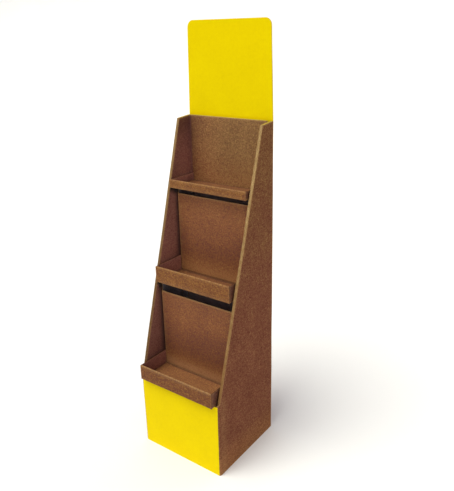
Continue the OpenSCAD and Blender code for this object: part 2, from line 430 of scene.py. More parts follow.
def board(name, tone, wave_axis, pitch, seed, field=None, ink=None, foot=None, painted_tone=None, grey_lift_below=None):
    """Liner of corrugated board; field is a printed area of the flat blank, in metres."""
    g = Nodes(name)
    uvn = g.add("UVMap")
    uvn.uv_map = "flat"
    mm = g.scaled(uvn.outputs[0], (1000.0, 1000.0, 1000.0), (seed * 137.0, seed * 71.0, 0.0))
    wear_n = g.add("Attribute")
    wear_n.attribute_name = "wear"
    wear = wear_n.outputs["Fac"]
    # paper formation: clouds, flocks, fine speckle
    cloud = g.noise(mm, 0.011, 3.0, 0.55)
    flock = g.noise(mm, 0.085, 3.0, 0.62, 0.6)
    mottle = g.noise(mm, 0.20, 2.0, 0.6, 0.3)
    speck = g.noise(mm, 0.42, 2.0, 0.7)
    # fibres, long in the making direction and turned a little both ways
    turn = 0.0 if wave_axis == 0 else HALF_PI
    f1 = g.noise(g.scaled(mm, (0.10, 1.5, 1.0), turn=turn + 0.25), 1.0, 2.0, 0.6, 0.8)
    f2 = g.noise(g.scaled(mm, (0.12, 1.7, 1.0), turn=turn - 0.45), 1.0, 2.0, 0.6, 0.8)
    fibre = g.math("ADD", g.math("MULTIPLY", f1, 0.5), g.math("MULTIPLY", f2, 0.5))
    tone_v = g.math("MULTIPLY_ADD", g.math("SUBTRACT", cloud, 0.5), tone["cloud"], 0.5)
    tone_v = g.math("MULTIPLY_ADD", g.math("SUBTRACT", flock, 0.5), tone["flock"], tone_v)
    tone_v = g.math("MULTIPLY_ADD", g.math("SUBTRACT", mottle, 0.5), tone["mottle"], tone_v)
    tone_v = g.math("MULTIPLY_ADD", g.math("SUBTRACT", speck, 0.5), tone["speck"], tone_v)
    tone_v = g.math("MULTIPLY_ADD", g.math("SUBTRACT", fibre, 0.5), tone["fibre"], tone_v)
    # washboard: the flutes show faintly through the liner
    sep = g.add("SeparateXYZ")
    g.put(sep, 0, mm)
    wave = g.math("SINE", g.math("MULTIPLY", sep.outputs[wave_axis], 2 * math.pi / pitch))
    tone_v = g.math("MULTIPLY_ADD", wave, 0.012, tone_v)
    if foot is not None:
        # painted light and shade: paler just above a tray, standing in for light thrown back from its floor, and a
        # painted shade band a hand's width higher
        hs = g.add("SeparateXYZ")
        g.put(hs, 0, uvn.outputs[0])
        up = g.math("MULTIPLY_ADD", g.math("SUBTRACT", cloud, 0.5), 0.05, hs.outputs[1])
        low = g.span(up, foot + 0.010, foot + tone["reach"], 1.0, 0.0, True)
        shade_rise = g.span(up, foot + 0.055, foot + 0.105, 0.0, 1.0, True)
        fall = g.span(up, foot + 0.125, foot + 0.230, 1.0, 0.0, True)
        tone_v = g.math("MULTIPLY_ADD", low, tone["foot"], tone_v)
        tone_v = g.math("MULTIPLY_ADD", g.math("MULTIPLY", shade_rise, fall), -tone["band_shade"], tone_v)
    col = g.ramp(tone_v, [(0.12, tone["dark"]), (0.5, tone["mid"]), (0.88, tone["light"])], "LINEAR")
    if foot is not None:
        # painted light: paler paper just above the tray's floor, standing in for light thrown back from it
        bounce_lift = g.span(hs.outputs[1], foot + 0.012, foot + 0.050, tone["pale"], 0.0, True)
        col = g.mix(bounce_lift, col, g.ramp(tone_v, [(0.12, BOUNCE_PALE[0]), (0.5, BOUNCE_PALE[1]), (1.0, BOUNCE_PALE[2])], "LINEAR"))
        # and a line of painted contact shade along its foot
        col = g.mix(g.span(hs.outputs[1], foot + 0.0015, foot + 0.0050, tone["contact_shade"], 0.0), col, tone["fleck"])
    if "high" in tone:
        hi = g.add("SeparateXYZ")
        g.put(hi, 0, uvn.outputs[0])
        lift = g.math("MULTIPLY_ADD", g.math("SUBTRACT", cloud, 0.5), 0.9, hi.outputs[1])
        olive = g.ramp(tone_v, [(0.12, tone["high"][0]), (0.5, tone["high"][1]), (0.88, tone["high"][2])], "LINEAR")
        col = g.mix(g.span(lift, 0.50, 1.20, 0.0, 0.85, True), col, olive)
    if "low" in tone:
        # painted light: paler paper near the floor, offsetting the shade there
        lo = g.add("SeparateXYZ")
        g.put(lo, 0, uvn.outputs[0])
        floor_lift = g.ramp(tone_v, [(0.12, tone["low"][0]), (0.5, tone["low"][1]), (0.88, tone["low"][2])], "LINEAR")
        col = g.mix(g.span(lo.outputs[1], 0.0, 0.120, 1.0, 0.0), col, floor_lift)
    if grey_lift_below is not None:
        # painted light: pale grey paper below this height, lifting the deep shade behind the tray
        bl = g.add("SeparateXYZ")
        g.put(bl, 0, uvn.outputs[0])
        col = g.mix(g.span(bl.outputs[1], grey_lift_below + 0.003, grey_lift_below - 0.003, 0.0, 0.85), col, GAP_LIFT_GREY)
    if painted_tone is not None:
        # painted light and shade: a second tone over part of the blank
        us = g.add("SeparateXYZ")
        g.put(us, 0, uvn.outputs[0])
        col2 = g.ramp(tone_v, [(0.12, painted_tone["dark"]), (0.5, painted_tone["mid"]), (0.88, painted_tone["light"])], "LINEAR")
        across = g.math("ABSOLUTE", us.outputs[0]) if painted_tone["both"] else us.outputs[0]
        # painted shade: the back panel turns redder towards its left edge and its foot
        if "warm_shade" in painted_tone:
            warm_shade = g.ramp(tone_v, [(0.12, painted_tone["warm_shade"][0]), (0.5, painted_tone["warm_shade"][1]), (0.88, painted_tone["warm_shade"][2])], "LINEAR")
            drift = g.math("MULTIPLY_ADD", g.math("SUBTRACT", cloud, 0.5), 0.10, across)
            sink = g.math("MULTIPLY_ADD", g.math("SUBTRACT", cloud, 0.5), 0.10, us.outputs[1])
            fac = g.math("ADD", g.span(drift, -0.70, -0.52, 0.0, 0.65, True), g.span(sink, 1.12, 0.97, 0.0, 0.65, True), clamp=True)
            col = g.mix(fac, col, warm_shade)
        into_painted_tone = g.span(across, painted_tone["from"], painted_tone["to"], 0.0, 1.0, True)
        col = g.mix(into_painted_tone, col, col2)
        for (u0, u1, z0, z1, k, su, eu, sz, ez, shade) in painted_tone.get("painted_patches", ()):
            # painted shade under the trays, in the seams beside the risers and in the corners, and painted light where
            # corners would be too dark
            ab = g.math("ABSOLUTE", us.outputs[0])
            near = g.math("MULTIPLY", g.span(ab, u0 - su, u0 + su, 0.0, 1.0, True), g.span(ab, u1 + eu, u1 - eu, 0.0, 1.0, True))
            low = g.math("MULTIPLY", g.span(us.outputs[1], z0 - sz, z0 + sz, 0.0, 1.0, True), g.span(us.outputs[1], z1 + ez, z1 - ez))
            col = g.mix(g.math("MULTIPLY", g.math("MULTIPLY", near, low), k), col, shade)
        # painted shade: the side panels' inside darkens towards the top
        if "shade_rise" in painted_tone:
            high = g.span(us.outputs[1], painted_tone["shade_rise"][0], painted_tone["shade_rise"][1], 0.0, painted_tone["shade_rise"][2], True)
            col = g.mix(g.math("MULTIPLY", high, g.span(across, painted_tone["from"], painted_tone["to"])), col, tone["fleck"])
    hsv = g.add("HueSaturation")
    g.put(hsv, "Hue", g.math("MULTIPLY_ADD", g.math("SUBTRACT", g.noise(mm, 0.17, 2.0, 0.65), 0.5), 0.05, 0.5))
    g.put(hsv, "Color", col)
    col = hsv.outputs[0]
    # dark flecks and a few pale shives
    fleck = g.span(g.noise(g.scaled(mm, (0.30, 0.8, 1.0), (31.0, 5.0, 0.0), turn + 0.8), 1.0, 1.0, 0.5, 0.4), 0.70, 0.76)
    col = g.mix(g.math("MULTIPLY", fleck, 0.55), col, tone["fleck"])
    shive = g.span(g.noise(g.scaled(mm, (0.22, 1.3, 1.0), (11.0, 47.0, 0.0), turn - 0.2), 1.0, 1.0, 0.5, 0.4), 0.72, 0.78)
    col = g.mix(g.math("MULTIPLY", shive, 0.4), col, tone["light"])
    # crushed paper and painted shade: darker in the inside of a crease
    sn = g.add("Attribute")
    sn.attribute_name = "crease_crush_shade"
    col = g.mix(g.math("MULTIPLY", sn.outputs["Fac"], tone["crease_crush_shade"]), col, tone["fleck"])
    # scuffed, paler paper along creases and cuts
    rub = g.math("MULTIPLY", wear, g.span(g.noise(mm, 0.16, 3.0, 0.65), 0.26, 0.66))
    col = g.mix(g.math("MULTIPLY", rub, tone["rub"]), col, tone["edge"])
    rough = g.span(flock, 0.3, 0.7, 0.74, 0.90)
    height = g.math("MULTIPLY_ADD", fibre, 0.10, g.math("MULTIPLY", speck, 0.05))
    height = g.math("MULTIPLY_ADD", wave, 0.030, height)
    bs = g.add("BsdfPrincipled")
    if ink is not None:
        su = g.add("SeparateXYZ")
        g.put(su, 0, uvn.outputs[0])
        # the ink's edge wanders by a fraction of a millimetre
        wob = g.math("MULTIPLY", g.math("SUBTRACT", g.noise(mm, 0.30, 2.0, 0.6), 0.5), 0.0011)
        if field is not None:
            ax = g.math("ADD", g.math("ABSOLUTE", su.outputs[0]), wob)
            inx = g.span(ax, field[0] + 0.0003, field[0] - 0.0003)
            inz = g.span(g.math("ADD", su.outputs[1], wob), field[1] + 0.0003, field[1] - 0.0003)
            area = g.math("MULTIPLY", inx, inz)
        else:
            area = None
        lay = g.math("MULTIPLY_ADD", g.math("SUBTRACT", flock, 0.5), 0.55, 0.5)
        lay = g.math("MULTIPLY_ADD", g.math("SUBTRACT", speck, 0.5), 0.35, lay)
        lay = g.math("MULTIPLY_ADD", g.math("SUBTRACT", cloud, 0.5), 0.50, lay)
        lay = g.math("MULTIPLY_ADD", wave, 0.02, lay)
        yellow = g.ramp(lay, [(0.15, ink["dark"]), (0.5, ink["mid"]), (0.85, ink["light"])], "LINEAR")
        # pinholes where the paper shows through, and rubbed corners
        pin = g.span(g.noise(mm, 0.55, 1.0, 0.5), 0.735, 0.80)
        bare = g.math("MULTIPLY", wear, g.span(g.noise(mm, 0.24, 3.0, 0.7), 0.56, 0.66))
        bare = g.math("MAXIMUM", g.math("MULTIPLY", pin, 0.35), g.math("MULTIPLY", bare, 0.7))
        yellow = g.mix(bare, yellow, ink["bare"])
        cover = g.span(lay, 0.2, 0.8, 0.50, 0.60)
        if area is None:
            col, rough = yellow, cover
        else:
            col = g.mix(area, col, yellow)
            mr = g.add("Mix", data_type="FLOAT")
            g.put(mr, 0, area)
            g.put(mr, 2, rough)
            g.put(mr, 3, cover)
            rough = mr.outputs[0]
    bump = g.add("Bump")
    g.put(bump, "Strength", 0.55)
    g.put(bump, "Distance", 0.0010)
    g.put(bump, "Height", height)
    g.put(bs, "Base Color", col)
    g.put(bs, "Roughness", rough)
    bs.inputs["Specular IOR Level"].default_value = 0.03 if ink else 0.40
    g.put(bs, "Normal", bump.outputs[0])
    g.tree.links.new(bs.outputs[0], g.out.inputs[0])
    return g.mat


def cut_edge(name, pale, dark, shade, darker_low=None, paint_above=None, left=None):
    """Raw cut through the board: pale torn paper, painted shade down in the flutes and, if given, a darker tone towards
    the bottom.
    """
    g = Nodes(name)
    tc = g.add("TexCoord")
    mm = g.scaled(tc.outputs["Object"], (1000.0, 1000.0, 1000.0))
    fuzz = g.noise(mm, 0.9, 3.0, 0.7)
    patch = g.noise(mm, 0.045, 2.0, 0.5)
    mixv = g.math("MULTIPLY_ADD", g.math("SUBTRACT", fuzz, 0.5), 0.9, patch)
    col = g.ramp(mixv, [(0.2, dark), (0.75, pale)], "LINEAR")
    if darker_low is not None:
        # darker towards the bottom
        hs = g.add("SeparateXYZ")
        g.put(hs, 0, tc.outputs["Object"])
        up = g.math("MULTIPLY_ADD", g.math("SUBTRACT", patch, 0.5), 0.25, hs.outputs[2])
        low_col = g.ramp(mixv, [(0.2, darker_low[0]), (0.75, darker_low[1])], "LINEAR")
        col = g.mix(g.span(up, 0.38, 1.00, 1.0, 0.0), col, low_col)
    if left is not None:
        # the left side's front edge is darker, more so lower down
        lf = g.add("SeparateXYZ")
        g.put(lf, 0, tc.outputs["Object"])
        much = g.math("MULTIPLY", g.span(lf.outputs[0], -0.160, -0.166), g.span(lf.outputs[2], 0.60, 1.00, 0.80, 0.36))
        col = g.mix(much, col, left)
    if paint_above is not None:
        # from a given height up: painted shade where a riser's edge runs on in the shade of the tray above it, or a
        # painted yellow reflection of the header on the shell's top edge
        ht = g.add("SeparateXYZ")
        g.put(ht, 0, tc.outputs["Object"])
        col = g.mix(g.span(ht.outputs[2], paint_above[0] - 0.001, paint_above[0] + 0.001, 0.0, paint_above[2]), col, paint_above[1])
    # painted shade down in the open flutes
    dn = g.add("Attribute")
    dn.attribute_name = "deep"
    col = g.mix(g.span(dn.outputs["Fac"], 0.1, 1.0, 0.0, 0.75), col, shade)
    bs = g.add("BsdfPrincipled")
    bump = g.add("Bump")
    g.put(bump, "Strength", 0.5)
    g.put(bump, "Distance", 0.0006)
    g.put(bump, "Height", fuzz)
    g.put(bs, "Base Color", col)
    g.put(bs, "Roughness", g.span(fuzz, 0.3, 0.7, 0.82, 0.95))
    bs.inputs["Specular IOR Level"].default_value = 0.15
    g.put(bs, "Normal", bump.outputs[0])
    g.tree.links.new(bs.outputs[0], g.out.inputs[0])
    return g.mat


KRAFT = {"dark": lin(92, 50, 27), "mid": lin(119, 74, 42), "light": lin(149, 104, 58),
         "fleck": lin(62, 30, 22), "edge": lin(186, 150, 98),
         "cloud": 0.40, "flock": 0.70, "mottle": 1.10, "speck": 0.80, "fibre": 0.50, "rub": 0.75,
         "foot": 0.34, "band_shade": 0.04, "reach": 0.075, "pale": 0.0, "contact_shade": 0.0, "crease_crush_shade": 0.75}
# painted light near a riser's foot, standing in for light thrown back from the tray's floor
BOUNCE_PALE = (lin(122, 78, 52), lin(152, 104, 70), lin(190, 143, 101))
# the shell's outside is painted paler near the floor, offsetting the shade there
KRAFT_SHELL = dict(KRAFT, dark=lin(89, 47, 34), mid=lin(118, 72, 52), light=lin(145, 99, 69), flock=0.95, mottle=1.40,
                   high=(lin(88, 52, 31), lin(117, 79, 49), lin(144, 106, 66)),
                   low=(lin(112, 68, 43), lin(145, 97, 62), lin(172, 126, 81)))
KRAFT_LIP = dict(KRAFT, dark=lin(92, 48, 21), mid=lin(123, 75, 33), light=lin(154, 107, 51), edge=lin(196, 160, 108), rub=0.85, flock=0.95, mottle=1.45)
KRAFT_LIP_LOW = dict(KRAFT_LIP, dark=lin(84, 41, 18), mid=lin(113, 65, 28), light=lin(144, 96, 45), flock=1.20, mottle=1.80)
# painted light: the upper riser's paper is lighter than the others, offsetting the shade of the tray above
KRAFT_UPPER = dict(KRAFT, dark=lin(107, 59, 45), mid=lin(139, 86, 50), light=lin(170, 117, 69), band_shade=0.16, pale=0.12, contact_shade=0.50)
KRAFT_MIDDLE = dict(KRAFT, dark=lin(99, 53, 42), mid=lin(129, 78, 44), light=lin(160, 108, 62), foot=0.40, band_shade=0.16, pale=0.48, contact_shade=0.24)
KRAFT_INSIDE = dict(KRAFT, dark=lin(102, 66, 35), mid=lin(133, 95, 54), light=lin(165, 126, 74), foot=0.20, band_shade=0.0, reach=0.11, flock=0.90, mottle=1.35)
# painted shade, dull and deep, and a pale grey that paints light into deep shade
DULL_SHADE, DEEP_SHADE, GAP_LIFT_GREY = lin(62, 30, 22), lin(28, 20, 20), lin(176, 162, 166)
# painted light
LIFT_LIGHT = lin(180, 124, 104)
# painted shade: the side panels' inside turns maroon, with painted shade and light in patches under the trays, beside
# the risers and in the corners
SIDE_SHADE_TONE = {"dark": lin(104, 57, 49), "mid": lin(136, 85, 73), "light": lin(164, 113, 95),
              "from": -0.5155, "to": -0.5075, "both": False,
              "warm_shade": (lin(109, 63, 37), lin(141, 91, 53), lin(172, 122, 75)),
              "painted_patches": ((0.170, 0.300, 0.285, 0.640, 0.28, 0.003, 0.002, 0.004, 0.002, DULL_SHADE),
                       (0.392, 0.450, 0.640, 0.958, 0.45, 0.014, 0.002, 0.012, 0.002, DULL_SHADE),
                       (0.274, 0.330, 0.290, 0.612, 0.45, 0.014, 0.002, 0.012, 0.002, DULL_SHADE),
                       (0.400, 0.450, 0.640, 0.958, 0.30, 0.006, 0.002, 0.012, 0.002, DEEP_SHADE),
                       (0.284, 0.330, 0.290, 0.612, 0.30, 0.006, 0.002, 0.012, 0.002, DEEP_SHADE),
                       (0.330, 0.450, 0.953, 0.971, 0.96, 0.002, 0.002, 0.010, 0.002, DEEP_SHADE),
                       (0.390, 0.450, 0.943, 0.971, 0.90, 0.012, 0.002, 0.006, 0.002, DEEP_SHADE),
                       (0.230, 0.330, 0.625, 0.641, 0.96, 0.002, 0.002, 0.006, 0.002, DEEP_SHADE),
                       (0.281, 0.330, 0.608, 0.641, 0.94, 0.005, 0.002, 0.006, 0.002, DEEP_SHADE),
                       (0.505, 0.523, 0.980, 1.230, 0.26, 0.004, 0.020, 0.004, 0.002, DULL_SHADE),
                       (0.505, 0.575, 1.110, 1.230, 0.20, 0.004, 0.030, 0.060, 0.002, DULL_SHADE),
                       (0.225, 0.390, 0.830, 0.960, 0.32, 0.004, 0.030, 0.110, 0.002, DULL_SHADE),
                       (0.380, 0.430, 1.000, 1.230, 0.28, 0.004, 0.028, 0.030, 0.002, DULL_SHADE),
                       (0.380, 0.498, 1.160, 1.230, 0.34, 0.004, 0.002, 0.030, 0.002, DULL_SHADE),
                       (0.420, 0.498, 0.972, 1.060, 0.28, 0.040, 0.002, 0.004, 0.060, LIFT_LIGHT),
                       (0.255, 0.385, 0.645, 0.740, 0.18, 0.030, 0.010, 0.004, 0.060, LIFT_LIGHT),
                       (0.700, 0.840, 0.972, 1.090, 0.14, 0.070, 0.002, 0.004, 0.060, lin(190, 142, 86)),
                       (0.510, 0.840, 0.600, 0.964, 0.85, 0.002, 0.002, 0.004, 0.002, GAP_LIFT_GREY)),
              "shade_rise": (1.06, 1.20, 0.42)}
# painted light: the trays' walls are paler and pinker inside, lifting their shade, and the floor is paler beside them
WALL_LIGHT_TONE = {"dark": lin(130, 82, 74), "mid": lin(167, 116, 102), "light": lin(194, 146, 124),
              "from": 0.1600, "to": 0.1640, "both": True,
              "painted_patches": ((0.115, 0.159, 0.100, 0.170, 0.38, 0.030, 0.002, 0.002, 0.030, lin(165, 92, 76)),)}
LOW_WALL_LIGHT_TONE = dict(WALL_LIGHT_TONE, dark=lin(120, 72, 64), mid=lin(152, 101, 88), light=lin(178, 128, 106), painted_patches=())
# painted shade: the outside of the trays' walls is darker
END_SHADE_TONE = {"dark": lin(76, 38, 28), "mid": lin(98, 56, 38), "light": lin(124, 78, 50),
             "from": 0.1636, "to": 0.1644, "both": True}
KRAFT_FLOOR_LOW = dict(KRAFT, dark=lin(98, 54, 30), mid=lin(129, 83, 47), light=lin(160, 114, 64))
KRAFT_HOLLOW = dict(KRAFT, dark=lin(74, 67, 70), mid=lin(95, 87, 90), light=lin(118, 108, 112), rub=0.0)
# painted light: the risers' inside liner turns paler towards the rear, lifting the deep shade there
HOLLOW_REAR_LIGHT = {"dark": lin(130, 122, 126), "mid": lin(160, 152, 156), "light": lin(186, 178, 182),
               "from": 0.185, "to": 0.255, "both": True}
INK = {"dark": lin(228, 202, 0), "mid": lin(236, 211, 0), "light": lin(242, 219, 0), "bare": lin(196, 158, 60)}

m_shell_out = board("kraft_shell_printed", KRAFT_SHELL, 0, 8.6, 1, field=(0.1720, 0.2906), ink=INK)
m_shell_in = board("kraft_shell_inside", KRAFT_INSIDE, 0, 7.9, 2, foot=0.974, painted_tone=SIDE_SHADE_TONE)
m_tray_out = board("kraft_tray_outside", KRAFT_LIP, 1, 7.2, 3, painted_tone=END_SHADE_TONE)
m_low_tray_out = board("kraft_lower_tray_outside", KRAFT_LIP_LOW, 1, 7.2, 12, painted_tone=END_SHADE_TONE)
m_tray_in = board("kraft_tray_inside", KRAFT, 1, 7.2, 4, painted_tone=WALL_LIGHT_TONE)
m_low_tray_in = board("kraft_lower_tray_inside", KRAFT_FLOOR_LOW, 1, 7.2, 13, painted_tone=LOW_WALL_LIGHT_TONE)
m_upper_riser = board("kraft_upper_riser_face", KRAFT_UPPER, 0, 7.2, 5, foot=0.644, grey_lift_below=0.606)
m_middle_riser = board("kraft_middle_riser_face", KRAFT_MIDDLE, 0, 7.2, 10, foot=0.2935)
m_lower_riser = board("kraft_lower_riser_face", KRAFT_MIDDLE, 0, 7.2, 11)
m_riser_in = board("kraft_riser_inside", KRAFT_HOLLOW, 0, 7.2, 6, painted_tone=HOLLOW_REAR_LIGHT)
m_head_out = board("header_print_face", KRAFT, 0, 7.2, 7, ink=INK)
m_head_in = board("header_back", KRAFT, 0, 7.2, 8)
m_pocket = board("kraft_pocket", KRAFT_SHELL, 0, 7.2, 9)
CUT = (lin(226, 198, 140), lin(186, 154, 102), lin(132, 99, 60))
CUT_LOW = (lin(134, 96, 56), lin(168, 129, 79))
m_cut = cut_edge("board_cut_edge", *CUT, CUT_LOW)
# painted reflection: the shell's top edge takes the header's yellow
m_cut_shell = cut_edge("shell_cut_edge", *CUT, CUT_LOW, (1.2065, lin(238, 216, 88), 0.92), lin(95, 68, 47))
# painted shade on the risers' edges above their faces
m_cut_upper = cut_edge("upper_riser_cut_edge", *CUT, CUT_LOW, (0.9450, DEEP_SHADE, 0.92))
m_cut_middle = cut_edge("middle_riser_cut_edge", *CUT, (lin(166, 128, 80), lin(204, 166, 110)), (0.5990, DEEP_SHADE, 0.92))
# painted shade: the trays' cut edges are darker than the others, as they lie in shade
m_cut_card = cut_edge("card_cut_edge", lin(134, 92, 60), lin(104, 66, 43), lin(80, 50, 34))

# ---------------------------------------------------------------- outer shell

LS = fold_len(SHELL_T)
L3 = fold_len(CARD_T)


def make_shell():
    t = SHELL_T
    ur = lambda y: 169.0 + LS + (y - 11.0)          # right side panel
    u_left_end = -(169.0 + LS + 318.0)             # crease to the back panel
    u_back = u_left_end - LS
    u_back_end = u_back - 328.0                    # crease to the glue flap
    u_flap = u_back_end - LS
    outline = [
        (u_flap - 34, 22), (u_flap, 0), (ur(340), 0), (ur(340), 1212), (ur(274), 1206), (ur(11), 311),
        (169, 290), (-169, 290), (-ur(11), 311), (-ur(274), 1206), (u_left_end, 1211), (u_back, 1212),
        (u_back_end, 1212), (u_back_end, 1204), (u_flap, 1204), (u_flap - 34, 1178)]
    outline = soften(outline, 1.6)
    rows = []
    for a0, s, top in ((169.0, 1, 290), (-169.0, -1, 290), (u_left_end, -1, 1211), (u_back_end, -1, 1204)):
        for k in range(9):
            x = a0 + s * LS * k / 8
            rows.append(((x, 3.0), (x, top - 3.0), 24.0))

    def place(u, v, w):
        a = u.copy()
        # the glue flap is crushed to a quarter of the board
        q = np.clip((u_back_end - u) / (0.7 * LS), 0, 1)
        w = w * (1 - 0.75 * q * q * (3 - 2 * q))
        a, w = bend(a, w, u < u_back_end, u_back_end, -1, t, crisp=2.8)
        a, w = bend(a, w, u < u_left_end, u_left_end, -1, t, crisp=2.8)
        a, w = bend(a, w, u < -169.0, -169.0, -1, t, crisp=2.8)
        a, w = bend(a, w, u > 169.0, 169.0, 1, t, crisp=2.8)
        return np.stack([a, w, v], axis=1)

    wx, wy = ripple(11, 0.35), ripple(12, 0.35)

    def warp(u, v):
        lift = np.clip(v / 300.0, 0, 1)
        return np.stack([wx(u, v) * lift, wy(u, v) * lift, np.zeros_like(u)], axis=1)

    mid = LS / 2
    creases = [(0, 169 + mid, 4.5, 0, 300, 0.12, 1.0), (0, -169 - mid, 4.5, 0, 300, 0.12, 1.0),
               (0, 193, 14.0, 0, 300, 0.30, 0.0), (0, -193, 14.0, 0, 300, 0.30, 0.0),
               (0, u_left_end - mid, 6.0, 0, 1211, 0.5, 0.30), (0, u_back_end - mid, 4.5, 0, 1204, 0.5, 1.0)]
    return sheet("shell_sheet", "outer_shell", outline, t, DOUBLE, rows, place, 0,
                 (m_shell_out, m_shell_in, m_cut_shell), grid=26, per_wave=8, coarse_v=0.0, warp=warp,
                 depth=0.8, creases=creases)


# ---------------------------------------------------------------- trays


def make_tray(name, node, y0, z0, h, y1, seed, outside, within, scuff=0.62, heel=0.25):
    t, ro, tw = CARD_T, CARD_T + FOLD_IN, 163.5
    xf = tw - ro
    v0 = y0 + ro
    v1 = v0 - L3                                    # foot of the lip
    roll_in = 0.12
    roll = fold_len(t, roll_in, math.pi)
    v2 = v1 - (h - ro - t)                          # lip's outer panel ends, roll begins
    v3 = v2 - roll
    v4 = v3 - (h - t - t - 0.2)                     # free edge of the inner panel, on the floor
    vm = (v2 + v3) / 2
    ub = xf + L3
    ut = ub + h - ro
    rear_in = 4.0                                   # the rear fold is a soft one
    lr = fold_len(t, rear_in)
    vr = y1 - t - rear_in
    ve = vr + lr + 29.0
    fx = tw - ro - 42.0 + 4.0
    xi = tw - t - 0.6
    yr = y1 - 1.0                                   # rear ends of the floor and walls
    half = [(xi, v4), (xi, vm), (tw, vm), (tw, v1 + 3.9), (xf + 0.6, v1 + 3.9), (xf + 0.6, v1 - 0.4), (xf, v1 - 0.4), (xf, v0 + 0.2), (ub + 0.3, v0 + 0.2), (ub + 0.3, y0 + t + 0.3),
            (ut, y0 + t + 0.3), (ut, yr), (fx + 6.0, yr), (fx + 6.0, vr), (fx, vr + lr), (fx - 6.0, ve)]
    outline = half + [(-x, y) for x, y in reversed(half)]
    rows = []
    for k in range(9):
        rows.append(((-xf + 3, v0 - L3 * k / 8), (xf - 3, v0 - L3 * k / 8), 16.0))
        rows.append(((-fx + 3, vr + lr * k / 8), (fx - 3, vr + lr * k / 8), 16.0))
        for s in (-1, 1):
            rows.append(((s * (xf + L3 * k / 8), v0 + 3.0), (s * (xf + L3 * k / 8), yr - 3.0), 16.0))
    for k in range(15):
        x = (tw if k < 7 else xi) - 3.2
        rows.append(((-x, v2 - roll * k / 14), (x, v2 - roll * k / 14), 16.0))

    def place(u, v, w):
        a, b = u.copy(), v.copy()
        lip = v < v0
        b, w = bend(b, w, v < v2, v2, -1, t, inner=roll_in, angle=math.pi, crisp=2.5)
        ear = (np.abs(u) > xf + 0.3) & (v < v1 + 4.0)
        b, w = bend(b, w, lip, v0, -1, t, straight=ear)
        b, w = bend(b, w, (v > vr) & (np.abs(u) < fx + 5.9), vr, 1, t, inner=rear_in, toward=-1, crisp=2.2)
        wall = (np.abs(u) > xf) & ~lip
        wall |= (np.abs(u) > tw + 0.05) & (v > y0 + t - 2.0)
        a, w = bend(a, w, wall & (u > 0), xf, 1, t)
        a, w = bend(a, w, wall & (u < 0), -xf, -1, t)
        # the free corner ahead of the side crease stays in the wall's plane
        return np.stack([a, b, z0 + w], axis=1)

    wz, wy = ripple(seed, 0.22, 120, 360), ripple(seed + 50, 0.30, 140, 420)

    def warp(u, v):
        return np.stack([np.zeros_like(u), wy(u, 0 * v), wz(u, 0 * v)], axis=1)

    # the entry at yr - 1.0 paints shade along the floor's rear edge, where it meets the riser
    creases = [(1, v0 - L3 / 2, 3.0, -xf, xf, heel, 0.8), (1, vm, 2.4, -tw, tw, scuff, 0.0),
               (1, vr + lr / 3, 5.0, -fx, fx, 0.3, 1.0), (1, yr - 1.0, 4.5, -xf, xf, 0.0, 1.0)]
    creases += [(0, s * (xf + L3 / 2), 3.0, v0, yr, 0.4, 0.7) for s in (-1, 1)]
    return sheet(name, node, outline, t, SINGLE, rows, place, 1,
                 (outside, within, m_cut_card), grid=15, per_wave=9, warp=warp, depth=0.7, creases=creases, frayed=0.25)


# ---------------------------------------------------------------- risers


def make_riser(name, node, y0, y1, h, z1, seed, face, cut):
    t, ro, tw = CARD_T, CARD_T + FOLD_IN, 163.5
    u1 = tw - ro
    u2 = u1 + L3
    u3 = u2 + (y1 - ro) - (y0 + ro)
    u4 = u3 + L3
    u5 = u4 + 28.0
    zf, zl = z1 - 64.0, z1 - ro
    la, lb = u2 + (3 * ro - ro), u3 - ro            # ledge, along the leg
    le = zl + L3 + 42.0
    half = [(u5, 0), (u5, zf - 8.0), (u4, zf), (u3, zf), (u3, zl), (lb, zl), (lb - 5.0, le), (la + 5.0, le), (la, zl),
            (u2, zl), (u2, h)]
    outline = half + [(-x, z) for x, z in reversed(half)]
    rows = []
    for k in range(9):
        for s in (-1, 1):
            rows.append(((s * (u1 + L3 * k / 8), 3.0), (s * (u1 + L3 * k / 8), h - 3.0), 22.0))
            rows.append(((s * (u3 + L3 * k / 8), 3.0), (s * (u3 + L3 * k / 8), zf - 3.0), 22.0))
            rows.append(((s * (la + 3.6), zl + L3 * k / 8), (s * (lb - 3.6), zl + L3 * k / 8), 16.0))

    def place(u, v, w):
        a, b = u.copy(), v.copy()
        b, w = bend(b, w, (v > zl) & (np.abs(u) > u2 + 1.0), zl, 1, t)
        flap = np.abs(u) > u3
        a, w = bend(a, w, flap & (u > 0) & (v < zf + 1), u3, 1, t)
        a, w = bend(a, w, flap & (u < 0) & (v < zf + 1), -u3, -1, t)
        up = v > h + 0.5
        a, w = bend(a, w, u > u1, u1, 1, t, straight=up)
        a, w = bend(a, w, u < -u1, -u1, -1, t, straight=up)
        return np.stack([a, y0 + w, b], axis=1)

    wy = ripple(seed, 0.55, 200, 620)

    def warp(u, v):
        face = np.clip((u1 - np.abs(u)) / 60.0, 0, 1)
        return np.stack([np.zeros_like(u), wy(u, v) * face, np.zeros_like(u)], axis=1)

    creases = [(0, s * (u1 + L3 / 2), 3.4, 0, h, 0.50, 0.8) for s in (-1, 1)]
    creases += [(0, s * (u3 + L3 / 2), 3.0, 0, zf, 0.6, 0.8) for s in (-1, 1)]
    return sheet(name, node, outline, t, SINGLE, rows, place, 0,
                 (face, m_riser_in, cut), grid=22, per_wave=9, coarse_v=0.0, warp=warp, depth=0.7,
                 creases=creases)


# ---------------------------------------------------------------- header and pocket


